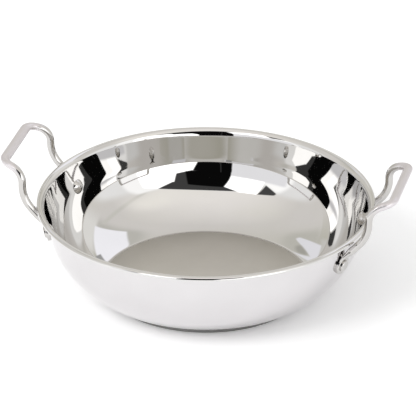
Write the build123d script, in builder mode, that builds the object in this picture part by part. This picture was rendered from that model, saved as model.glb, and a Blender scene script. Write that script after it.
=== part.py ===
"""Kadai: a round stainless bowl pan with a bonded base and two riveted loop handles.

Millimetres. The origin is the middle of the base's underside, +Z is up and the handles lie along X.
"""
import os
from math import asin, cos, degrees, pi, radians, sin, sqrt, tan

from build123d import *

os.makedirs("parts", exist_ok=True)

# Bowl shell, pressed and spun from one sheet
rim_radius = 130.0  # outermost edge of the lip
bowl_height = 74.0  # from the table to the top of the lip
sheet = 1.2
floor_radius = 80.4  # where the flat floor meets the belly, under the sheet
wall_depth = 22.95  # from the top of the lip down to where the wall starts to round into the belly
wall_lean = 12.9  # degrees from upright
flare_bend = 5.8  # radius under the lip where it flares off the wall
flare_turn = 52.0  # degrees from upright where the flare tightens into the curl
curl_bend = 1.2  # radius inside the curled edge
curl_turn = 180.0  # degrees from upright that the sheet has turned at its edge
floor_blend = 5.0  # soft round between floor and belly, inside

# Bonded base: an aluminium core in a stainless cap
base_thickness = 4.3
base_setback = 1.4  # the base stands in from the floor's corner
cap_sheet = 0.6
cap_round = 1.6
core_gap = 0.1  # round the core, inside the cap

# Rivets, one through each pad
rivet_drop = 22.0  # centre below the top of the lip
rivet_spread = 78.6  # between a handle's two rivets, straight across
shank_radius = 2.5
shank_clearance = 0.1
dome_radius = 5.8
dome_height = 3.0
outer_head_radius = 4.8
outer_head_height = 1.3
outer_head_bevel = 0.5
seat_gap = 0.05  # between faces that are pressed together

# Handles, bent from round rod
leg_diameter = 6.0
grip_width = 7.6
grip_thickness = 5.4
grip_overhang = 21.2  # from the lip's edge out to the middle of the grip
grip_rise = 30.1  # above the lip
grip_span = 66.8  # between the corners of the loop
leg_overhang = 1.7  # from the lip's edge out to the near side of the upright legs
knee_rise = 25.3
knee_span = 76.6
ankle_rise = 3.8
ankle_span = 79.0
heel_lift = 6.8  # from the rivet's centre up to where the leg turns off the wall
heel_bend = 7.0
ankle_bend = 26.0
knee_bend = 12.5
corner_bend = 9.5
flattening = 6.5  # length of slanting leg over which the rod turns flat

# Pads, the flattened ends of the legs
pad_radius = 7.6
pad_thickness = 2.4
pad_neck_radius = 4.5  # end of the pad under the leg
pad_neck_lift = 5.5  # centre of that end above the rivet's
heel_width = 12.0  # of the flattened rod where it leaves the pad
pad_edge = 0.7  # round along the pad's outer face
overrun = 4.0  # how far cutting and clipping shapes run past the faces they cut

lean = radians(wall_lean)
flare = radians(flare_turn)
curl = radians(curl_turn)


def along(centre, radius, angle):
    """Point of a profile arc, by the lean from upright of the sheet there."""
    return Vector(centre.X - radius * cos(angle), centre.Y + radius * sin(angle))


def lip_arc(centre, radius, start, end):
    """Draw an arc of the lip from one lean of the sheet to another."""
    middle = along(centre, radius, (start + end) / 2)
    ThreePointArc(along(centre, radius, start), middle, along(centre, radius, end))


def bend_points(before, corner, after, radius):
    """Start, middle and end of the bend that rounds a corner of a rod's centre line."""
    back = (before - corner).normalized()
    ahead = (after - corner).normalized()
    half = radians(back.get_angle(ahead)) / 2
    bisector = (back + ahead).normalized()
    setback = radius / tan(half)
    middle = corner + bisector * (radius / sin(half) - radius)
    return corner + back * setback, middle, corner + ahead * setback


def wall_radius(height):
    """Radius of the outside of the upper wall at a height above the table."""
    return wall_top.X + (height - wall_top.Y) * tan(lean)


def wall_plane(azimuth, height):
    """Plane on the outside of the upper wall: x round the bowl, y up the wall, z out of it."""
    way = Vector(cos(azimuth), sin(azimuth), 0)
    spot = way * wall_radius(height) + Vector(0, 0, height)
    out = way * cos(lean) - Vector(0, 0, sin(lean))
    return Plane(origin=spot, x_dir=(-sin(azimuth), cos(azimuth), 0), z_dir=out)


# Lip: the underside flares about one centre and curls about a nearer one, and the inside
# follows one sheet thickness further out
curl_centre = Vector(rim_radius - sheet - curl_bend, bowl_height - sheet - curl_bend)
flare_centre = along(curl_centre, curl_bend - flare_bend, flare)
edge_middle = along(curl_centre, curl_bend + sheet / 2, curl)
edge_tip = edge_middle + Vector(sin(curl), cos(curl)) * (sheet / 2)
wall_top = along(flare_centre, flare_bend, lean)

# Belly: an arc tangent to the leaning wall that ends on the floor's corner
floor_corner = Vector(floor_radius, base_thickness)
up_wall = Vector(sin(lean), cos(lean))
into_bowl = Vector(-cos(lean), sin(lean))
wall_foot = Vector(wall_radius(bowl_height - wall_depth), bowl_height - wall_depth)
reach = floor_corner - wall_foot
belly_radius = reach.length**2 / (2 * reach.dot(into_bowl))
belly_centre = wall_foot + into_bowl * belly_radius
inner_belly = belly_radius - sheet
inner_floor = base_thickness + sheet
inner_corner_radius = belly_centre.X + sqrt(inner_belly**2 - (belly_centre.Y - inner_floor) ** 2)
inner_corner = Vector(inner_corner_radius, inner_floor)


def belly_point(radius, angle):
    """Point of the belly, by its angle below level."""
    return Vector(belly_centre.X + radius * cos(angle), belly_centre.Y - radius * sin(angle))


outer_slope = asin((belly_centre.Y - base_thickness) / belly_radius)
inner_slope = asin((belly_centre.Y - inner_floor) / inner_belly)
base_radius = floor_radius - base_setback

# Rivets: one on each side of each handle's middle, at the same height on the leaning wall
rivet_height = bowl_height - rivet_drop
rivet_azimuth = asin(rivet_spread / 2 / wall_radius(rivet_height))
rivet_azimuths = {
    "right_front_rivet": -rivet_azimuth,
    "right_back_rivet": rivet_azimuth,
    "left_back_rivet": pi - rivet_azimuth,
    "left_front_rivet": pi + rivet_azimuth,
}


def wall_band(inner, outer, below, above):
    """Corners of a straight ring section along the upper wall, between two distances off its outside."""
    out = Vector(cos(lean), -sin(lean))
    low = Vector(wall_radius(rivet_height), rivet_height) - up_wall * below
    high = Vector(wall_radius(rivet_height), rivet_height) + up_wall * above
    return low + out * inner, low + out * outer, high + out * outer, high + out * inner


def follow_wall(inner, outer, above):
    """Draw a ring section along belly and upper wall, between two distances off their outside."""
    near = belly_radius + inner
    far = belly_radius + outer
    middle = (lean + outer_slope) / 2
    bend_to_rivet = (rivet_height - wall_foot.Y) / cos(lean)
    rise = up_wall * (bend_to_rivet + above)
    ThreePointArc(belly_point(near, outer_slope), belly_point(near, middle), belly_point(near, lean))
    Line(belly_point(near, lean), belly_point(near, lean) + rise)
    Line(belly_point(near, lean) + rise, belly_point(far, lean) + rise)
    Line(belly_point(far, lean) + rise, belly_point(far, lean))
    ThreePointArc(belly_point(far, lean), belly_point(far, middle), belly_point(far, outer_slope))
    Line(belly_point(far, outer_slope), belly_point(near, outer_slope))


with BuildPart() as bowl_shell:
    with BuildSketch(Plane.XZ) as bowl_profile:
        with BuildLine():
            Line((0, base_thickness), floor_corner)
            ThreePointArc(
                floor_corner,
                belly_point(belly_radius, (lean + outer_slope) / 2),
                belly_point(belly_radius, lean),
            )
            Line(belly_point(belly_radius, lean), wall_top)
            lip_arc(flare_centre, flare_bend, lean, flare)
            lip_arc(curl_centre, curl_bend, flare, curl)
            ThreePointArc(
                along(curl_centre, curl_bend, curl),
                edge_tip,
                along(curl_centre, curl_bend + sheet, curl),
            )
            lip_arc(curl_centre, curl_bend + sheet, curl, flare)
            lip_arc(flare_centre, flare_bend + sheet, flare, lean)
            Line(along(flare_centre, flare_bend + sheet, lean), belly_point(inner_belly, lean))
            ThreePointArc(
                belly_point(inner_belly, lean),
                belly_point(inner_belly, (lean + inner_slope) / 2),
                inner_corner,
            )
            Line(inner_corner, (0, inner_floor))
            Line((0, inner_floor), (0, base_thickness))
        make_face()
        fillet(bowl_profile.vertices().sort_by_distance(floor_corner)[0], radius=floor_blend + sheet)
        fillet(bowl_profile.vertices().sort_by_distance(inner_corner)[0], radius=floor_blend)
    revolve(axis=Axis.Z)
    for azimuth in rivet_azimuths.values():
        with Locations(wall_plane(azimuth, rivet_height).offset(overrun)):
            Hole(shank_radius + shank_clearance, depth=2 * overrun)
bowl_shell.part.label = "bowl_shell"
export_step(bowl_shell.part, "parts/bowl_shell.step")

with BuildPart() as base_cap:
    with BuildSketch():
        Circle(base_radius)
    extrude(amount=base_thickness)
    fillet(base_cap.edges().group_by(Axis.Z)[0], radius=cap_round)
    with BuildSketch(Plane.XY.offset(cap_sheet)):
        Circle(base_radius - cap_sheet)
    extrude(amount=base_thickness, mode=Mode.SUBTRACT)
    inner_edge = base_cap.edges().filter_by_position(Axis.Z, cap_sheet, cap_sheet)
    fillet(inner_edge, radius=cap_round - cap_sheet)
base_cap.part.label = "base_cap"
export_step(base_cap.part, "parts/base_cap.step")

with BuildPart() as base_core_disc:
    with BuildSketch(Plane.XY.offset(cap_sheet)):
        Circle(base_radius - cap_sheet - core_gap)
    extrude(amount=base_thickness - cap_sheet)
    fillet(base_core_disc.edges().group_by(Axis.Z)[0], radius=cap_round - cap_sheet)
base_core_disc.part.label = "base_core_disc"
export_step(base_core_disc.part, "parts/base_core_disc.step")

# A rivet's heads are cut to the curved faces that they clamp, then joined by the shank
pad_outside = seat_gap + pad_thickness
head_seat = pad_outside + seat_gap
head_top = head_seat + outer_head_height
dome_seat = sheet + seat_gap
dome_top = dome_seat + dome_height
rivet_plane = wall_plane(0, rivet_height)
with BuildPart() as rivet:
    with BuildSketch(Plane(rivet_plane.origin, x_dir=rivet_plane.y_dir, z_dir=rivet_plane.x_dir)):
        with BuildLine():
            Line((0, -dome_top), (0, head_top))
            Line((0, head_top), (outer_head_radius - outer_head_bevel, head_top))
            Line(
                (outer_head_radius - outer_head_bevel, head_top),
                (outer_head_radius, head_top - outer_head_bevel),
            )
            Line((outer_head_radius, head_top - outer_head_bevel), (outer_head_radius, 0))
            Line((outer_head_radius, 0), (dome_radius, 0))
            Line((dome_radius, 0), (dome_radius, -dome_seat))
            TangentArc((0, -dome_top), (dome_radius, -dome_seat), tangent=(1, 0))
        make_face()
    revolve(axis=Axis(rivet_plane.origin, rivet_plane.z_dir))
    past_dome = dome_radius + overrun
    with BuildSketch(Plane.XZ):
        with BuildLine():
            Polyline(*wall_band(0, head_seat, past_dome, past_dome), close=True)
        make_face()
    revolve(axis=Axis.Z, mode=Mode.SUBTRACT)
    with BuildSketch(Plane.XZ):
        with BuildLine():
            follow_wall(-dome_seat, pad_thickness, past_dome)
        make_face()
    revolve(axis=Axis.Z, mode=Mode.SUBTRACT)
    with BuildSketch(rivet_plane.offset(-dome_seat - dome_height / 2)):
        Circle(shank_radius)
    extrude(amount=dome_seat + dome_height / 2 + head_seat + outer_head_height / 2)

for name, azimuth in rivet_azimuths.items():
    with BuildPart() as placed_rivet:
        add(rivet.part, rotation=(0, 0, degrees(azimuth)))
    placed_rivet.part.label = name
    export_step(placed_rivet.part, f"parts/{name}.step")

# The right handle's back leg runs from its pad over the heel, ankle and knee to the grip's corner
pad_plane = wall_plane(rivet_azimuth, rivet_height)
pad_centre = pad_plane.origin + pad_plane.z_dir * (seat_gap + pad_thickness / 2)
heel = pad_centre + pad_plane.y_dir * heel_lift
leg_out = rim_radius + leg_overhang + leg_diameter / 2
ankle = Vector(leg_out, ankle_span / 2, bowl_height + ankle_rise)
knee = Vector(leg_out, knee_span / 2, bowl_height + knee_rise)
corner = Vector(rim_radius + grip_overhang, grip_span / 2, bowl_height + grip_rise)
across = Vector(0, -1, 0)
heel_start, heel_middle, heel_end = bend_points(pad_centre, heel, ankle, heel_bend)
corner_start, corner_middle, corner_end = bend_points(knee, corner, corner + across, corner_bend)
up_leg = (ankle - heel).normalized()
out_to_grip = (corner - knee).normalized()
grip_normal = out_to_grip.cross(across).normalized()
rod_start = heel_end + up_leg * flattening
leg_plane = Plane(rod_start, x_dir=pad_plane.x_dir, z_dir=up_leg)
grip_plane = Plane(corner_end, x_dir=grip_normal.cross(across), z_dir=across)
pad_top = pad_neck_lift + pad_neck_radius

with BuildPart() as handle:
    # Pad: a rounded paddle clipped to the wall's curve
    with BuildSketch(pad_plane):
        Circle(pad_radius)
        with Locations((0, pad_neck_lift)):
            Circle(pad_neck_radius)
        make_hull()
    extrude(amount=pad_thickness + overrun, both=True)
    with BuildSketch(Plane.XZ):
        with BuildLine():
            Polyline(*wall_band(-overrun, pad_outside, pad_radius + overrun, pad_top + overrun), close=True)
        make_face()
    revolve(axis=Axis.Z, mode=Mode.INTERSECT)
    outer_face = handle.faces().sort_by_distance(pad_plane.origin + pad_plane.z_dir * overrun)[0]
    fillet(outer_face.edges(), radius=pad_edge)
    # Heel: the flattened rod turns off the wall and grows round
    with BuildLine():
        ThreePointArc(heel_start, heel_middle, heel_end)
        Line(heel_end, rod_start)
    with BuildSketch(Plane(heel_start, x_dir=pad_plane.x_dir, z_dir=pad_plane.y_dir)):
        Ellipse(heel_width / 2, pad_thickness / 2)
    with BuildSketch(leg_plane):
        Circle(leg_diameter / 2)
    sweep(multisection=True)
    # Leg: up past the lip, upright between ankle and knee, then out
    with BuildLine():
        FilletPolyline(rod_start, ankle, knee, corner_start, radius=(ankle_bend, knee_bend))
    with BuildSketch(leg_plane):
        Circle(leg_diameter / 2)
    sweep()
    # Corner: from round rod to the wide grip
    with BuildLine():
        ThreePointArc(corner_start, corner_middle, corner_end)
    with BuildSketch(Plane(corner_start, x_dir=grip_normal.cross(out_to_grip), z_dir=out_to_grip)):
        Circle(leg_diameter / 2)
    with BuildSketch(grip_plane):
        Ellipse(grip_width / 2, grip_thickness / 2)
    sweep(multisection=True)
    # Half of the grip
    with BuildSketch(grip_plane):
        Ellipse(grip_width / 2, grip_thickness / 2)
    extrude(amount=corner_end.Y)
    # Clear of the wall under the heel, drilled for the rivet, and the same again in front
    with BuildSketch(Plane.XZ):
        with BuildLine():
            follow_wall(-2 * overrun, seat_gap, heel_lift + heel_bend)
        make_face()
    revolve(axis=Axis.Z, mode=Mode.SUBTRACT)
    with Locations(pad_plane.offset(pad_thickness + overrun)):
        Hole(shank_radius + shank_clearance, depth=pad_thickness + 2 * overrun)
    mirror(about=Plane.XZ)

for name, turned in (("right_handle", 0), ("left_handle", pi)):
    with BuildPart() as placed_handle:
        add(handle.part, rotation=(0, 0, degrees(turned)))
    placed_handle.part.label = name
    export_step(placed_handle.part, f"parts/{name}.step")
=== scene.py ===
"""Looks of a round stainless kadai in a white studio: mirror bowl, satin floor, turned base, bent rods."""

import logging
import math
from collections.abc import Mapping, Sequence
from dataclasses import dataclass
from enum import Enum

import bpy
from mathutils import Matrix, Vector


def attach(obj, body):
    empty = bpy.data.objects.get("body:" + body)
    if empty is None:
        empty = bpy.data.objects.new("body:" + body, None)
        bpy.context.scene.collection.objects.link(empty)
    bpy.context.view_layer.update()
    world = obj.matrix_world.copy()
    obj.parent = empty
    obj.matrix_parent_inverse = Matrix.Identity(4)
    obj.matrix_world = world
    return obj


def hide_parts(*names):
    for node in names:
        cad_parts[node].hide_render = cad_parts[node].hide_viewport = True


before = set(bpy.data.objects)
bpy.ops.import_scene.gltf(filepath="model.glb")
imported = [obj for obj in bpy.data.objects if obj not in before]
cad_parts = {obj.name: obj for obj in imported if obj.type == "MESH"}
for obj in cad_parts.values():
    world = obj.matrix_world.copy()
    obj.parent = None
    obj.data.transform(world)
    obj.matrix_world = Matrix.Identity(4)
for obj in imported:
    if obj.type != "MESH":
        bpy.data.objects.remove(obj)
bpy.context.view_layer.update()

log = logging.getLogger("kadai")

MM = 0.001
TINY = 1e-6  # mm
Point = tuple[float, float]
Light = tuple[float, float, float, float]


class Slot(Enum):
    """Material slots of the record, by what the pieces in them are."""

    BOWL = "bowl_steel"
    CORE = "base_aluminium"
    CAP = "base_steel"
    HANDLE = "handle_steel"
    RIVET = "rivet_steel"


class Face(Enum):
    """The differently finished faces of the pressed bowl, in the order of its mesh's materials."""

    INSIDE = 0
    FLOOR = 1
    OUTSIDE = 2


def linear(colour: str) -> Light:
    """Turn an sRGB hex colour to linear light.

    Args:
        colour: Six hex digits after a hash sign.

    Returns:
        Red, green, blue and full alpha.
    """
    parts = [int(colour[i : i + 2], 16) / 255 for i in (1, 3, 5)]
    red, green, blue = (c / 12.92 if c <= 0.04045 else ((c + 0.055) / 1.055) ** 2.4 for c in parts)
    return red, green, blue, 1.0


def scaled(colour: str, level: float) -> Light:
    """Linear light of an sRGB hex colour at a level, 1 as written."""
    red, green, blue, alpha = linear(colour)
    return red * level, green * level, blue * level, alpha


def add_node(
    tree: bpy.types.NodeTree,
    kind: str,
    settings: Mapping[str, object] | None = None,
    inputs: Mapping[str | int, object] | None = None,
) -> bpy.types.Node:
    """Add a node with its settings, and give its inputs a value or a link.

    Args:
        tree: Node tree of a material or of the world.
        kind: Blender's type name of the node.
        settings: Properties of the node by name.
        inputs: Values, or sockets to link from, by the input's name or number.

    Returns:
        The new node.
    """
    node = tree.nodes.new(kind)
    for name, value in (settings or {}).items():
        setattr(node, name, value)
    for name, value in (inputs or {}).items():
        if isinstance(value, bpy.types.NodeSocket):
            tree.links.new(value, node.inputs[name])
        else:
            node.inputs[name].default_value = value
    return node


@dataclass(frozen=True)
class Brushing:
    """A stretch brushed satin on a polished piece, beyond a distance from the pan's axis."""

    colour: str
    roughness: float
    start: float  # mm from the axis
    full: float  # mm from the axis

    def over(
        self,
        tree: bpy.types.NodeTree,
        radius: bpy.types.NodeSocket,
        tint: bpy.types.NodeSocket,
        rough: bpy.types.NodeSocket,
    ) -> tuple[bpy.types.NodeSocket, bpy.types.NodeSocket]:
        """Lay the brushing over a polished surface.

        Args:
            tree: The material's nodes.
            radius: Distance from the axis, in metres.
            tint: The polished surface's colour.
            rough: The polished surface's roughness.

        Returns:
            Colour and roughness with the brushed stretch.
        """
        share = add_node(
            tree,
            "ShaderNodeMapRange",
            {"interpolation_type": "SMOOTHSTEP"},
            {"Value": radius, "From Min": self.start * MM, "From Max": self.full * MM},
        ).outputs["Result"]
        colour = add_node(
            tree,
            "ShaderNodeMix",
            {"data_type": "RGBA"},
            {"Factor": share, "A": tint, "B": linear(self.colour)},
        ).outputs["Result"]
        roughness = add_node(
            tree, "ShaderNodeMix", inputs={"Factor": share, "A": rough, "B": self.roughness}
        ).outputs["Result"]
        return colour, roughness


@dataclass(frozen=True)
class Metal:
    """A bare metal surface: its colour, how sharp it mirrors and the marks that its making left.

    The marks run round the pan's axis, as they do on spun, turned and buffed ware. Real ones lie a tenth
    of a millimetre apart, and they are drawn as coarse as they need to be to show.
    """

    name: str
    colour: str
    tarnish: str  # colour of the faint clouds that handling and washing leave
    roughness: float
    roughness_spread: float
    mark_spacing: float  # mm between marks
    mark_length: float  # mm along a mark
    mark_depth: float  # mm
    anisotropic: float = 0.0
    cloud_size: float = 28.0  # mm
    brushing: Brushing | None = None
    mark_octaves: float = 2.0
    mark_grit: float = 0.6  # how strongly the finer octaves show
    cloud_octaves: float = 3.0
    cloud_grit: float = 0.55
    worn: Point = (0.1, 0.45)  # range of marks times clouds over which the roughness changes

    def material(self) -> bpy.types.Material:
        """Build the node material.

        Returns:
            The material, with marks, roughness and colour that vary at real scale.
        """
        material = bpy.data.materials.new(self.name)
        material.use_nodes = True
        tree = material.node_tree
        tree.nodes.clear()
        place = add_node(tree, "ShaderNodeTexCoord").outputs["Object"]
        flat = add_node(
            tree, "ShaderNodeVectorMath", {"operation": "MULTIPLY"}, {0: place, 1: (1.0, 1.0, 0.0)}
        ).outputs[0]
        radius = add_node(tree, "ShaderNodeVectorMath", {"operation": "LENGTH"}, {0: flat}).outputs["Value"]
        marks = self.marks(tree, place, flat, radius)
        tint, rough = self.wear(tree, place, marks)
        if self.brushing:
            tint, rough = self.brushing.over(tree, radius, tint, rough)
        bump = add_node(
            tree,
            "ShaderNodeBump",
            inputs={"Height": marks, "Distance": self.mark_depth * MM, "Strength": 1.0},
        ).outputs["Normal"]
        tangent = add_node(tree, "ShaderNodeTangent", {"direction_type": "RADIAL", "axis": "Z"}).outputs[0]
        shader = add_node(
            tree,
            "ShaderNodeBsdfPrincipled",
            inputs={
                "Base Color": tint,
                "Metallic": 1.0,
                "Roughness": rough,
                "Anisotropic": self.anisotropic,
                "Normal": bump,
            },
        )
        if self.anisotropic:
            tree.links.new(tangent, shader.inputs["Tangent"])
        add_node(tree, "ShaderNodeOutputMaterial", inputs={"Surface": shader.outputs[0]})
        return material

    def wear(
        self, tree: bpy.types.NodeTree, place: bpy.types.NodeSocket, marks: bpy.types.NodeSocket
    ) -> tuple[bpy.types.NodeSocket, bpy.types.NodeSocket]:
        """Vary colour and roughness with the clouds of handling and washing.

        Args:
            tree: The material's nodes.
            place: Place on the object, in metres.
            marks: Height of the marks, 0 to 1.

        Returns:
            The colour, and the roughness.
        """
        clouds = add_node(
            tree,
            "ShaderNodeTexNoise",
            inputs={
                "Vector": place,
                "Scale": 1 / (self.cloud_size * MM),
                "Detail": self.cloud_octaves,
                "Roughness": self.cloud_grit,
            },
        ).outputs["Fac"]
        tint = add_node(
            tree,
            "ShaderNodeMix",
            {"data_type": "RGBA"},
            {"Factor": clouds, "A": linear(self.colour), "B": linear(self.tarnish)},
        ).outputs["Result"]
        worn = add_node(tree, "ShaderNodeMath", {"operation": "MULTIPLY"}, {0: marks, 1: clouds}).outputs[0]
        rough = add_node(
            tree,
            "ShaderNodeMapRange",
            inputs={
                "Value": worn,
                "From Min": self.worn[0],
                "From Max": self.worn[1],
                "To Min": self.roughness - self.roughness_spread,
                "To Max": self.roughness + self.roughness_spread,
            },
        ).outputs["Result"]
        return tint, rough

    def marks(
        self,
        tree: bpy.types.NodeTree,
        place: bpy.types.NodeSocket,
        flat: bpy.types.NodeSocket,
        radius: bpy.types.NodeSocket,
    ) -> bpy.types.NodeSocket:
        """Draw the marks round the axis: long along the way that the pan turned, close across it.

        Args:
            tree: The material's nodes.
            place: Place on the object, in metres.
            flat: The same without its height.
            radius: Distance from the axis, in metres.

        Returns:
            The marks' height, 0 to 1.
        """
        way = add_node(tree, "ShaderNodeVectorMath", {"operation": "NORMALIZE"}, {0: flat}).outputs[0]
        way = add_node(
            tree,
            "ShaderNodeVectorMath",
            {"operation": "SCALE"},
            {0: way, "Scale": BowlShape.rim_radius / self.mark_length},
        ).outputs[0]
        across = 1 / (self.mark_spacing * MM)
        radial = add_node(
            tree, "ShaderNodeMath", {"operation": "MULTIPLY"}, {0: radius, 1: across}
        ).outputs[0]
        lifted = add_node(tree, "ShaderNodeCombineXYZ", inputs={"Z": radial}).outputs[0]
        vector = add_node(tree, "ShaderNodeVectorMath", {"operation": "ADD"}, {0: way, 1: lifted}).outputs[0]
        height = add_node(tree, "ShaderNodeSeparateXYZ", inputs={0: place}).outputs["Z"]
        upright = add_node(
            tree, "ShaderNodeMath", {"operation": "MULTIPLY"}, {0: height, 1: across}
        ).outputs[0]
        return add_node(
            tree,
            "ShaderNodeTexNoise",
            {"noise_dimensions": "4D"},
            {
                "Vector": vector,
                "W": upright,
                "Scale": 1.0,
                "Detail": self.mark_octaves,
                "Roughness": self.mark_grit,
            },
        ).outputs["Fac"]


# Buffed stainless sheet: near mirror, with hair-fine arcs of the buffing wheel
BUFFED_STAINLESS = Metal(
    name="buffed_stainless",
    colour="#DBDAD9",
    tarnish="#D5D4D2",
    roughness=0.025,
    roughness_spread=0.015,
    mark_spacing=1.2,
    mark_length=60.0,
    mark_depth=0.0004,
)
# The outside is buffed less: reflections stay but their edges go soft
SATIN_BUFFED_STAINLESS = Metal(
    name="satin_buffed_stainless",
    colour="#DEDCDD",
    tarnish="#D7D5D6",
    roughness=0.11,
    roughness_spread=0.03,
    mark_spacing=0.8,
    mark_length=40.0,
    mark_depth=0.0015,
)
# Floor, spun with an abrasive pad: even satin rings
SPUN_STAINLESS = Metal(
    name="spun_satin_stainless",
    colour="#CCC9C3",
    tarnish="#C4C1BA",
    roughness=0.42,
    roughness_spread=0.05,
    mark_spacing=0.7,
    mark_length=50.0,
    mark_depth=0.004,
    anisotropic=0.5,
)
# Turned stainless cap: fine lathe rings. Its colour and clouds are darker than bare steel, partly for the
# dull turned finish and partly as painted shade: the shadowed table round the foot, which the ring mirrors
TURNED_STAINLESS_PAINTED_SHADE = Metal(
    name="turned_stainless_painted_shade",
    colour="#939391",
    tarnish="#848482",
    roughness=0.3,
    roughness_spread=0.05,
    mark_spacing=0.5,
    mark_length=90.0,
    mark_depth=0.004,
    anisotropic=0.4,
)
# Milled aluminium core, seen only as the hair line over the cap's edge
MILLED_ALUMINIUM = Metal(
    name="milled_aluminium",
    colour="#C9CACC",
    tarnish="#BEBFC2",
    roughness=0.38,
    roughness_spread=0.05,
    mark_spacing=0.6,
    mark_length=30.0,
    mark_depth=0.004,
)
# Bright-drawn stainless rod, buffed on the legs and brushed satin along the grip
BUFFED_ROD = Metal(
    name="buffed_rod_stainless",
    colour="#CBC9C7",
    tarnish="#C3C1BE",
    roughness=0.05,
    roughness_spread=0.02,
    mark_spacing=0.8,
    mark_length=20.0,
    mark_depth=0.001,
    cloud_size=14.0,
    brushing=Brushing(colour="#DCD8DA", roughness=0.38, start=142.0, full=149.0),
)
# Cold-headed stainless rivets, tumbled bright
TUMBLED_RIVET = Metal(
    name="tumbled_rivet_stainless",
    colour="#D0CECC",
    tarnish="#C6C4C1",
    roughness=0.06,
    roughness_spread=0.02,
    mark_spacing=0.9,
    mark_length=3.0,
    mark_depth=0.001,
    cloud_size=5.0,
)

BOWL_METALS = {
    Face.INSIDE: BUFFED_STAINLESS,
    Face.FLOOR: SPUN_STAINLESS,
    Face.OUTSIDE: SATIN_BUFFED_STAINLESS,
}


def steps(start: float, end: float, count: int) -> list[float]:
    """Divide a range evenly, with both ends."""
    return [start + (end - start) * i / count for i in range(count + 1)]


def line(start: Point, end: Point, count: int) -> list[Point]:
    """Divide a straight line evenly.

    Args:
        start: First point.
        end: Last point.
        count: How many pieces it makes.

    Returns:
        The points, with both ends.
    """
    return [
        (start[0] + (end[0] - start[0]) * share, start[1] + (end[1] - start[1]) * share)
        for share in steps(0.0, 1.0, count)
    ]


def arc_point(centre: Vector, radius: float, degrees: float) -> Point:
    """Point of an arc, by its angle below level."""
    angle = math.radians(degrees)
    return centre.x + radius * math.cos(angle), centre.y - radius * math.sin(angle)


@dataclass(frozen=True)
class BowlShape:
    """The bowl's half section, in millimetres and degrees, with the sizes that its solid was made to."""

    rim_radius: float = 130.0
    height: float = 74.0
    sheet: float = 1.2
    floor_radius: float = 80.4
    wall_depth: float = 22.95
    wall_lean: float = 12.9
    flare_bend: float = 5.8
    flare_turn: float = 52.0
    curl_bend: float = 1.2
    curl_turn: float = 180.0
    floor_blend: float = 5.0
    base_thickness: float = 4.3
    curl_steps: int = 26
    flare_steps: int = 12
    wall_steps: int = 10
    belly_steps: int = 48
    blend_steps: int = 7
    floor_steps: int = 26
    edge_steps: int = 8

    def curl_centre(self) -> Vector:
        """Middle of the curled edge's arcs, as radius and height."""
        middle = self.sheet + self.curl_bend
        return Vector((self.rim_radius - middle, self.height - middle))

    def flare_centre(self) -> Vector:
        """Find the middle of the flare's arcs, which meet the curl's at the flare's turn.

        Returns:
            Radius and height.
        """
        turn = math.radians(self.flare_turn)
        apart = self.flare_bend - self.curl_bend
        return self.curl_centre() + Vector((math.cos(turn), -math.sin(turn))) * apart

    def lip(self, depth: float, degrees: float) -> Point:
        """Point of the flared and curled lip.

        Args:
            depth: How far into the sheet from its underside.
            degrees: Turn from upright of the sheet there.

        Returns:
            Radius and height.
        """
        angle = math.radians(degrees)
        if degrees > self.flare_turn:
            centre, radius = self.curl_centre(), self.curl_bend + depth
        else:
            centre, radius = self.flare_centre(), self.flare_bend + depth
        return centre.x - radius * math.cos(angle), centre.y + radius * math.sin(angle)

    def belly(self) -> tuple[Vector, float]:
        """Find the belly's arc, tangent to the wall and ending on the floor's corner.

        Returns:
            The arc's centre as radius and height, and its outside radius.
        """
        lean = math.radians(self.wall_lean)
        top = Vector(self.lip(0.0, self.wall_lean))
        foot_z = self.height - self.wall_depth
        foot = Vector((top.x + (foot_z - top.y) * math.tan(lean), foot_z))
        into_bowl = Vector((-math.cos(lean), math.sin(lean)))
        reach = Vector((self.floor_radius, self.base_thickness)) - foot
        radius = reach.length_squared / (2 * reach.dot(into_bowl))
        return foot + into_bowl * radius, radius

    def side(self, depth: float) -> list[Point]:
        """Trace one face of the sheet from the lip's edge down to the axis.

        Args:
            depth: Distance of the face inside the outer one: nothing, or the sheet's thickness.

        Returns:
            Points from the lip's edge to the axis.
        """
        turns = steps(self.curl_turn, self.flare_turn, self.curl_steps)
        turns += steps(self.flare_turn, self.wall_lean, self.flare_steps)[1:]
        points = [self.lip(depth, turn) for turn in turns]
        centre, outside = self.belly()
        radius = outside - depth
        floor_z = self.base_thickness + depth
        blend = self.floor_blend + self.sheet - depth
        blend_z = floor_z + blend
        blend_r = centre.x + math.sqrt((radius - blend) ** 2 - (centre.y - blend_z) ** 2)
        meet = math.degrees(math.atan2(centre.y - blend_z, blend_r - centre.x))
        start = arc_point(centre, radius, self.wall_lean)
        points += line(points[-1], start, self.wall_steps)[1:-1]
        points += [arc_point(centre, radius, a) for a in steps(self.wall_lean, meet, self.belly_steps)]
        corner = Vector((blend_r, blend_z))
        points += [arc_point(corner, blend, a) for a in steps(meet, 90.0, self.blend_steps)[1:]]
        points += line(points[-1], (0.0, floor_z), self.floor_steps)[1:]
        return points

    def edge(self) -> list[Point]:
        """Trace the lip's rounded edge.

        Returns:
            Points from the underside to the inside, without the two ends.
        """
        turn = math.radians(self.curl_turn)
        centre = Vector(self.lip(self.sheet / 2, self.curl_turn))
        ahead = Vector((math.sin(turn), math.cos(turn)))
        up = Vector((-math.cos(turn), math.sin(turn)))
        half = self.sheet / 2
        sweep = [math.radians(a) for a in steps(-90.0, 90.0, self.edge_steps)[1:-1]]
        return [tuple(centre + ahead * half * math.cos(a) + up * half * math.sin(a)) for a in sweep]


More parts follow.
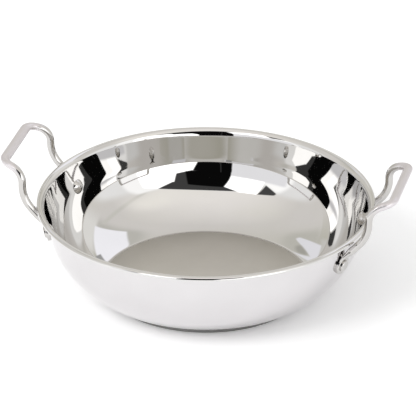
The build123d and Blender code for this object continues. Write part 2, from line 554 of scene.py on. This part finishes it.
@dataclass(frozen=True)
class Bowl:
    """The pressed bowl, turned as one fine mesh so that its mirror is as smooth as the real one's."""

    shape: BowlShape = BowlShape()
    around: int = 288  # divisions round the axis

    def make(self) -> bpy.types.Object:
        """Build, dress and place the bowl.

        Returns:
            The bowl's object.
        """
        outside = self.shape.side(0.0)
        inside = self.shape.side(self.shape.sheet)
        profile = outside[::-1] + self.shape.edge() + inside
        floor_edge = max(r for r, z in inside if z < inside[-1][1] + TINY)
        mesh = bpy.data.meshes.new("kadai_bowl")
        vertices, faces, finishes = self.turn(profile, len(outside), floor_edge)
        mesh.from_pydata(vertices, [], faces)
        for face in Face:
            mesh.materials.append(BOWL_METALS[face].material())
        mesh.polygons.foreach_set("material_index", finishes)
        mesh.shade_smooth()
        bowl = bpy.data.objects.new("kadai_bowl", mesh)
        bpy.context.scene.collection.objects.link(bowl)
        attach(bowl, "root")
        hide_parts("bowl_shell")
        return bowl

    def turn(
        self, profile: Sequence[Point], outside: int, floor_edge: float
    ) -> tuple[list[tuple[float, float, float]], list[tuple[int, ...]], list[int]]:
        """Turn the half section round the axis.

        Args:
            profile: Points from the axis under the bowl to the axis inside it.
            outside: How many of them are the outside's.
            floor_edge: Radius where the flat floor ends.

        Returns:
            Vertices in metres, faces, and each face's finish.
        """
        vertices: list[tuple[float, float, float]] = []
        rings: list[list[int]] = []
        for r, z in profile:
            count = 1 if r < TINY else self.around
            rings.append(list(range(len(vertices), len(vertices) + count)))
            for i in range(count):
                angle = math.tau * i / self.around
                vertices.append((r * MM * math.cos(angle), r * MM * math.sin(angle), z * MM))
        faces: list[tuple[int, ...]] = []
        finishes: list[int] = []
        for k, (low, high) in enumerate(zip(rings, rings[1:])):
            if k < outside:
                finish = Face.OUTSIDE
            elif profile[k][0] <= floor_edge + TINY:
                finish = Face.FLOOR
            else:
                finish = Face.INSIDE
            for i in range(self.around):
                j = (i + 1) % self.around
                if len(low) == 1:
                    faces.append((low[0], high[j], high[i]))
                elif len(high) == 1:
                    faces.append((low[i], low[j], high[0]))
                else:
                    faces.append((low[i], low[j], high[j], high[i]))
                finishes.append(finish.value)
        return vertices, faces, finishes


@dataclass(frozen=True)
class Fitting:
    """Solids of one slot that keep their own meshes and share a finish."""

    slot: Slot
    metal: Metal
    nodes: tuple[str, ...]

    def dress(self) -> list[bpy.types.Object]:
        """Give the solids their metal.

        Returns:
            The dressed objects.
        """
        material = self.metal.material()
        solids = [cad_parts[node] for node in self.nodes]
        for solid in solids:
            solid.data.materials.clear()
            solid.data.materials.append(material)
        return solids


FITTINGS = (
    Fitting(Slot.CORE, MILLED_ALUMINIUM, ("base_core_disc",)),
    # The cap's metal carries painted shade in its darkened colour
    Fitting(Slot.CAP, TURNED_STAINLESS_PAINTED_SHADE, ("base_cap",)),
    Fitting(Slot.HANDLE, BUFFED_ROD, ("right_handle", "left_handle")),
    Fitting(
        Slot.RIVET,
        TUMBLED_RIVET,
        ("right_front_rivet", "right_back_rivet", "left_front_rivet", "left_back_rivet"),
    ),
)


@dataclass(frozen=True)
class Pane:
    """A panel of the studio's tent as the steel mirrors it: a patch of sky with straight, soft edges.

    Its corners are azimuth, to the right of the camera's own, and elevation, in degrees. It has no
    hollow corner.
    """

    level: float  # brightness, 1 for plain white
    corners: tuple[Point, ...]
    softness: float | tuple[float, ...] = 0.012  # of all edges, or of each, the first corner's edge first
    tone: str = "#FFFFFF"

    def ways(self) -> list[Vector]:
        """Turn the corners to directions.

        Returns:
            Each corner's direction, as right, away and up.
        """
        found = []
        for azimuth, elevation in self.corners:
            a, e = math.radians(azimuth), math.radians(elevation)
            found.append(Vector((math.sin(a) * math.cos(e), -math.cos(a) * math.cos(e), math.sin(e))))
        return found

    def edges(self) -> list[tuple[Vector, float]]:
        """Find the planes through the pane's edges.

        Returns:
            Each plane's normal, which points into the pane, and the edge's softness.
        """
        ways = self.ways()
        middle = sum(ways, Vector())
        normals = [a.cross(b).normalized() for a, b in zip(ways, ways[1:] + ways[:1])]
        soft = self.softness if isinstance(self.softness, tuple) else (self.softness,) * len(ways)
        return [(n if n.dot(middle) > 0 else -n, s) for n, s in zip(normals, soft)]


@dataclass(frozen=True)
class Laminate:
    """Matt pressed laminate: an even pale ground without a mirror picture, which keeps the shadow."""

    name: str = "matt_white_laminate"
    tones: tuple[str, str] = ("#FCFCFC", "#FDFDFD")
    grain: float = 40.0  # mm across the faint clouds

    def material(self, lift: float) -> bpy.types.Material:
        """Build the node material.

        Args:
            lift: Light of its own that it shows to the camera, to metal and to glass.

        Returns:
            The material.
        """
        material = bpy.data.materials.new(self.name)
        material.use_nodes = True
        tree = material.node_tree
        tree.nodes.clear()
        place = add_node(tree, "ShaderNodeTexCoord").outputs["Object"]
        grain = add_node(
            tree,
            "ShaderNodeTexNoise",
            inputs={"Vector": place, "Scale": 1 / (self.grain * MM), "Detail": 2.0},
        ).outputs["Fac"]
        first, second = (linear(tone) for tone in self.tones)
        tone = add_node(
            tree, "ShaderNodeMix", {"data_type": "RGBA"}, {"Factor": grain, "A": first, "B": second}
        ).outputs["Result"]
        matt = add_node(tree, "ShaderNodeBsdfDiffuse", inputs={"Color": tone})
        kind = add_node(tree, "ShaderNodeLightPath").outputs
        seen = kind["Is Camera Ray"]
        for other in ("Is Glossy Ray", "Is Transmission Ray"):
            seen = add_node(
                tree, "ShaderNodeMath", {"operation": "MAXIMUM"}, {0: seen, 1: kind[other]}
            ).outputs[0]
        own = add_node(tree, "ShaderNodeMath", {"operation": "MULTIPLY"}, {0: seen, 1: lift}).outputs[0]
        glow = add_node(tree, "ShaderNodeEmission", inputs={"Strength": own})
        both = add_node(tree, "ShaderNodeAddShader", inputs={0: matt.outputs[0], 1: glow.outputs[0]})
        add_node(tree, "ShaderNodeOutputMaterial", inputs={"Surface": both.outputs[0]})
        return material


@dataclass(frozen=True)
class Studio:
    """White tent, pale floor, one soft key lamp and the camera at the photograph's angle."""

    azimuth: float = 14.0  # degrees
    elevation: float = 26.55  # degrees
    distance: float = 2.86  # m
    aim_height: float = 74.0  # mm
    lens: float = 323.44  # mm
    sensor: float = 36.0  # mm
    shift: Point = (0.0046, -0.0216)
    clip: Point = (0.05, 50.0)  # m
    tent: float = 0.85  # level of the tent's cloth overhead, mirrored
    tent_front: float = 1.1  # the same low in front, where the lamps stand
    tent_tones: tuple[str, str] = ("#FFFBFA", "#FFFCF4")
    fold_scale: float = 1.6  # folds of the cloth to a unit of direction
    lamps_way: tuple[float, float, float] = (0.0, -2.0, 1.0)  # right, away and up
    lamps_reach: Point = (0.3, 0.85)  # cosines from that way between which the cloth brightens
    horizon: float = 0.002  # softness of the edge between tent and table
    lift: float = 0.14  # light of its own that the table shows to the camera and to the steel
    soft_light: float = 0.82  # level that the tent gives to matt surfaces
    key_size: float = 1.0  # m
    key_power: float = 16.0  # W
    key_place: tuple[float, float, float] = (-1.1, -1.05, 1.35)  # m to the right, away and up
    table: Laminate = Laminate()
    table_reach: float = 4.0  # m to each side
    panes: tuple[Pane, ...] = (
        # Dim far end of the room behind the pan, and the dim gaps round the two windows beside it
        Pane(0.78, ((140, 60), (-112, 60), (-122, -3), (150, -3)), 0.25, "#FFFCF4"),
        Pane(0.62, ((136, 26.3), (-120, 26.3), (-120, 17), (136, 17)), (0.008, 0.4, 0.06, 0.4), "#FFFCEC"),
        Pane(0.95, ((150, 48), (-150, 48), (-150, 24.8), (150, 24.8)), 0.02, "#FFFDFA"),
        Pane(0.42, ((128, 3), (-128, 3), (-128, -3), (128, -3)), (0.04, 0.2, 0.02, 0.2), "#FFFDF6"),
        Pane(0.68, ((103, 27.5), (106, 40), (116, 59), (130, 62), (150, 55), (156, 28)), 0.09, "#FFFDF6"),
        Pane(0.67, ((-117, 26), (-115, 42), (-122, 52), (-135, 54), (-150, 50), (-155, 28)), 0.09, "#FFFDF4"),
        Pane(0.78, ((48, 35), (60, 38), (108, 36), (108, 32), (60, 34)), 0.03, "#FFFDF6"),
        # Lamp panels in front, fading out at both sides
        Pane(1.13, ((34, 58), (74, 54), (74, 36), (34, 38)), 0.14, "#FFFCF6"),
        Pane(1.08, ((38, 35), (62, 32), (90, 19), (94, -3), (38, -3)), 0.12),
        Pane(1.06, ((-44, 33), (-70, 32), (-88, 20), (-92, -3), (-44, -3)), 0.1),
        Pane(1.36, ((36, 35.5), (60, 33.5), (66, 24), (67, -3), (36, -3)), (0.03, 0.05, 0.04, 0.02, 0.012)),
        Pane(1.45, ((-61, 31.5), (-44, 24.5), (-44, -3), (-68, -3), (-67, 20)), 0.05),
        Pane(2.5, ((-29, 44.3), (-29, -3), (-46.5, -3), (-46.5, 41.3))),
        Pane(2.1, ((-31, 43.7), (0, 46.2), (42, 35.5), (52, 29), (52, -3), (-31, -3)), 0.014),
        Pane(1.1, ((-64, 21), (-45, 24.5), (-18, 24.5), (-18, -3), (-64, -3)), 0.045, "#FBFBFF"),
        # Dark frame and opening round the camera
        Pane(0.065, ((-29.5, 43.9), (0, 46.2), (42.5, 35.3), (27, 30), (-13, 38.5))),
        Pane(0.065, ((12, 38), (26.5, 32), (22.7, 19.6), (10, 16.9))),
        Pane(
            0.004,
            (
                (-15.5, 40.3),
                (3, 40),
                (10, 38.2),
                (15.5, 36.8),
                (15.5, 18),
                (-19, 14),
                (-19.4, 24),
                (-18.7, 30),
            ),
        ),
        Pane(0.004, ((-19.2, 19), (10.2, 18), (3.5, -3), (-19, -3))),
        Pane(0.04, ((-9.6, -3), (-10.4, -3), (-11.6, 20), (-10.8, 20)), 0.004),
        Pane(0.08, ((-61, 32), (-60.5, 35), (-47, 41.2), (-48.8, 26.6))),
        # Windows to the right and left of the pan's far side
        Pane(0.98, ((104, 28), (140, 28), (140, 12), (104, 12)), (0.03, 0.2, 0.08, 0.14), "#FFFEFB"),
        Pane(0.76, ((-127, 27), (-147, 27), (-147, 19), (-130, 19)), 0.04, "#FFFDF8"),
        Pane(
            1.28,
            (
                (112.5, 28),
                (113.5, 41.5),
                (117.5, 52),
                (121, 56.2),
                (130, 55),
                (146, 49.6),
                (152, 48),
                (154, 28),
            ),
            0.016,
            "#F9F9FF",
        ),
        Pane(0.45, ((143, 32.5), (153, 32.5), (152, 28), (144, 28)), 0.012),
        Pane(
            1.06,
            (
                (-133.5, 26.5),
                (-128, 36.5),
                (-125, 43.5),
                (-127.5, 45.8),
                (-131, 45.2),
                (-145, 34.2),
                (-152, 26.5),
            ),
            0.016,
            "#F9F9FF",
        ),
        Pane(1.06, ((-151, 27), (-150.5, 46.5), (-147.3, 46.5), (-146, 33), (-144, 27)), 0.016, "#F9F9FF"),
        Pane(
            0.5,
            ((-147.3, 37), (-145, 34.8), (-139.5, 38.5), (-136, 42), (-140, 44.5), (-147, 42)),
            0.03,
            "#FFFDF4",
        ),
    )

    def right_away(self) -> tuple[Vector, Vector]:
        """The camera's level axes: to its right, and away from it."""
        a = math.radians(self.azimuth)
        return Vector((math.cos(a), math.sin(a), 0.0)), Vector((-math.sin(a), math.cos(a), 0.0))

    def place_camera(self) -> bpy.types.Object:
        """Set up the camera at the photograph's angle.

        Returns:
            The camera's object.
        """
        a, e = math.radians(self.azimuth), math.radians(self.elevation)
        back = Vector((math.sin(a) * math.cos(e), -math.cos(a) * math.cos(e), math.sin(e)))
        data = bpy.data.cameras.new("camera")
        data.lens = self.lens
        data.sensor_width = self.sensor
        data.shift_x, data.shift_y = self.shift
        data.clip_start, data.clip_end = self.clip
        camera = bpy.data.objects.new("camera", data)
        camera.location = Vector((0.0, 0.0, self.aim_height * MM)) + back * self.distance
        camera.rotation_mode = "QUATERNION"
        camera.rotation_quaternion = (-back).to_track_quat("-Z", "Y")
        bpy.context.scene.collection.objects.link(camera)
        bpy.context.scene.camera = camera
        return camera

    def light_world(self) -> bpy.types.World:
        """Make the tent: white to the camera, plain and soft to matt surfaces, with its panels to the steel.

        Returns:
            The world.
        """
        world = bpy.data.worlds.new("white_tent")
        bpy.context.scene.world = world
        world.use_nodes = True
        tree = world.node_tree
        tree.nodes.clear()
        kind = add_node(tree, "ShaderNodeLightPath").outputs
        way = self.own_axes(tree)
        layers = [(self.inside(tree, way, pane), scaled(pane.tone, pane.level)) for pane in self.panes]
        layers += [
            (self.below_horizon(tree, way), scaled("#FFFFFF", 1.0 + self.lift)),
            (kind["Is Diffuse Ray"], scaled("#FFFFFF", self.soft_light)),
            (kind["Is Camera Ray"], linear("#FFFFFF")),
        ]
        colour = self.cloth(tree, way)
        for share, light in layers:
            colour = add_node(
                tree, "ShaderNodeMix", {"data_type": "RGBA"}, {"Factor": share, "A": colour, "B": light}
            ).outputs["Result"]
        glow = add_node(tree, "ShaderNodeBackground", inputs={"Color": colour, "Strength": 1.0})
        add_node(tree, "ShaderNodeOutputWorld", inputs={"Surface": glow.outputs[0]})
        return world

    def own_axes(self, tree: bpy.types.NodeTree) -> bpy.types.NodeSocket:
        """Turn a ray's direction to the tent's own axes, which face the photograph's camera.

        Args:
            tree: The world's nodes.

        Returns:
            The direction as right, away and up.
        """
        seen = add_node(tree, "ShaderNodeTexCoord").outputs["Generated"]
        return add_node(
            tree,
            "ShaderNodeVectorRotate",
            {"rotation_type": "Z_AXIS"},
            {"Vector": seen, "Angle": -math.radians(self.azimuth)},
        ).outputs[0]

    def cloth(self, tree: bpy.types.NodeTree, way: bpy.types.NodeSocket) -> bpy.types.NodeSocket:
        """Colour the tent's cloth: faintly uneven white, brighter towards the lamps low in front.

        Args:
            tree: The world's nodes.
            way: Direction as right, away and up.

        Returns:
            The cloth's light.
        """
        folds = add_node(
            tree, "ShaderNodeTexNoise", inputs={"Vector": way, "Scale": self.fold_scale, "Detail": 1.0}
        ).outputs["Fac"]
        first, second = (linear(tone) for tone in self.tent_tones)
        white = add_node(
            tree, "ShaderNodeMix", {"data_type": "RGBA"}, {"Factor": folds, "A": first, "B": second}
        ).outputs["Result"]
        lamps = tuple(Vector(self.lamps_way).normalized())
        to_lamps = add_node(
            tree, "ShaderNodeVectorMath", {"operation": "DOT_PRODUCT"}, {0: way, 1: lamps}
        ).outputs["Value"]
        level = add_node(
            tree,
            "ShaderNodeMapRange",
            inputs={
                "Value": to_lamps,
                "From Min": self.lamps_reach[0],
                "From Max": self.lamps_reach[1],
                "To Min": self.tent,
                "To Max": self.tent_front,
            },
        ).outputs["Result"]
        return add_node(
            tree, "ShaderNodeVectorMath", {"operation": "SCALE"}, {0: white, "Scale": level}
        ).outputs[0]

    def below_horizon(self, tree: bpy.types.NodeTree, way: bpy.types.NodeSocket) -> bpy.types.NodeSocket:
        """Tell where a direction falls below the tent, past the table's end.

        Args:
            tree: The world's nodes.
            way: Direction as right, away and up.

        Returns:
            One below the horizon and nothing above it.
        """
        up = add_node(
            tree, "ShaderNodeVectorMath", {"operation": "DOT_PRODUCT"}, {0: way, 1: (0.0, 0.0, 1.0)}
        ).outputs["Value"]
        return add_node(
            tree,
            "ShaderNodeMapRange",
            inputs={"Value": up, "From Min": self.horizon, "From Max": -self.horizon},
        ).outputs["Result"]

    def inside(
        self, tree: bpy.types.NodeTree, way: bpy.types.NodeSocket, pane: Pane
    ) -> bpy.types.NodeSocket:
        """How much of a pane is seen in a direction.

        Args:
            tree: The world's nodes.
            way: Direction as right, away and up.
            pane: The pane.

        Returns:
            One inside the pane and nothing outside, with a soft edge.
        """
        seen: bpy.types.NodeSocket | float = 1.0
        for normal, soft in pane.edges():
            beyond = add_node(
                tree, "ShaderNodeVectorMath", {"operation": "DOT_PRODUCT"}, {0: way, 1: tuple(normal)}
            ).outputs["Value"]
            past = add_node(
                tree,
                "ShaderNodeMapRange",
                {"interpolation_type": "SMOOTHSTEP"},
                {"Value": beyond, "From Min": -soft, "From Max": soft},
            ).outputs["Result"]
            seen = add_node(tree, "ShaderNodeMath", {"operation": "MULTIPLY"}, {0: seen, 1: past}).outputs[0]
        return seen

    def hang_key(self) -> bpy.types.Object:
        """Hang the large soft lamp that throws the pan's shadow to the right.

        Returns:
            The lamp's object.
        """
        right, away = self.right_away()
        to_right, to_away, height = self.key_place
        data = bpy.data.lights.new("soft_key", "AREA")
        data.shape = "DISK"
        data.size = self.key_size
        data.energy = self.key_power
        key = bpy.data.objects.new("soft_key", data)
        key.location = right * to_right + away * to_away + Vector((0.0, 0.0, height))
        key.rotation_mode = "QUATERNION"
        key.rotation_quaternion = (-key.location).to_track_quat("-Z", "Y")
        key.visible_glossy = False
        bpy.context.scene.collection.objects.link(key)
        return key

    def lay_floor(self) -> bpy.types.Object:
        """Lay the white table top, which keeps the pan's shadow.

        Returns:
            The floor's object.
        """
        mesh = bpy.data.meshes.new("table_top")
        reach = self.table_reach
        mesh.from_pydata(
            [(-reach, -reach, 0.0), (reach, -reach, 0.0), (reach, reach, 0.0), (-reach, reach, 0.0)],
            [],
            [(0, 1, 2, 3)],
        )
        mesh.materials.append(self.table.material(self.lift))
        floor = bpy.data.objects.new("table_top", mesh)
        bpy.context.scene.collection.objects.link(floor)
        return floor


def main() -> None:
    """Build the studio and dress the kadai."""
    logging.basicConfig(level=logging.INFO, format="%(name)s: %(message)s")
    bpy.context.scene.view_settings.view_transform = "Standard"
    studio = Studio()
    for made in (studio.place_camera(), studio.light_world(), studio.hang_key(), studio.lay_floor()):
        log.info("studio: %s", made.name)
    log.info("piece: %s in %s", Bowl().make().name, Slot.BOWL.value)
    for fitting in FITTINGS:
        for solid in fitting.dress():
            log.info("piece: %s in %s", solid.name, fitting.slot.value)


if __name__ == "__main__":
    main()
